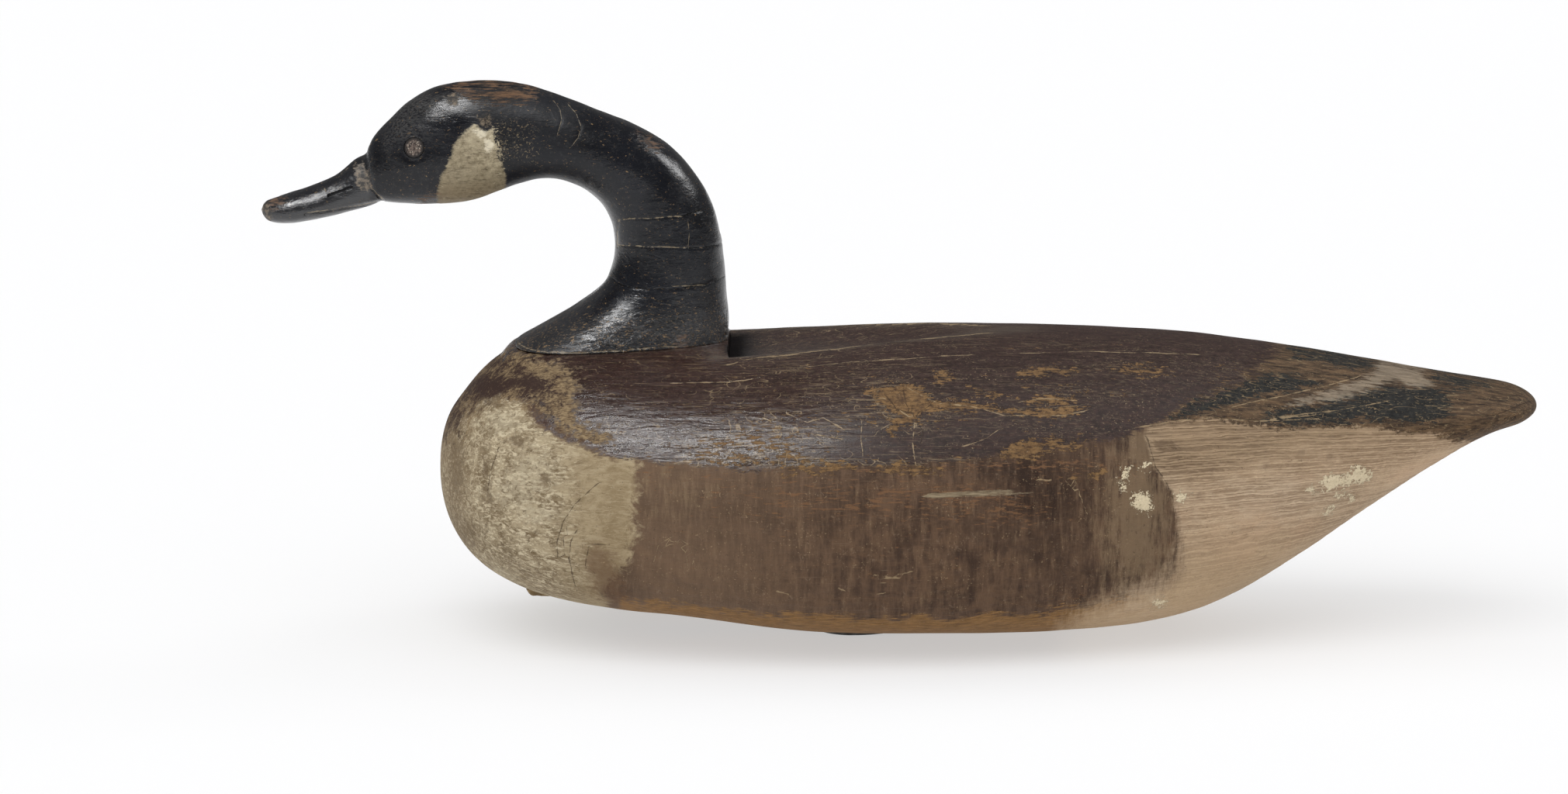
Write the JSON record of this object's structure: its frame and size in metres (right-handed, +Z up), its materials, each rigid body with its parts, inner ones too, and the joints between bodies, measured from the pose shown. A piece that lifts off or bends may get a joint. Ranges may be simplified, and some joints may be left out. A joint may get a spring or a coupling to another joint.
{
  "type": "goose decoy",
  "caption": "Carved and painted wooden goose decoy, head stretched forward on a curved neck, standing on a lead pad under its belly.",
  "frame": {"origin": "under the middle of the whole length, on the middle plane, level with the flat underside of the ballast pad", "axes": "+X towards the tail, so the bill points along -X; +Y towards the goose's right side; +Z up"},
  "size_m": [0.7366, 0.2554, 0.3206],
  "materials": {
    "body_wood": "old oil paint in brown, cream and black, worn through to bare wood on the rump and along the edges",
    "head_wood": "old black oil paint with a low sheen, cream cheek patches, fine cracks",
    "eye": "dull and pitted, most of its paint worn off",
    "lead": "poured lead, dull dark grey",
    "leather": "old stiff leather, painted over"
  },
  "bodies": {
    "root": {"body": "body_wood", "head_and_neck": "head_wood", "eye_left": "eye", "eye_right": "eye", "ballast_pad": "lead", "line_tie": "leather"}
  },
  "joints": []
}
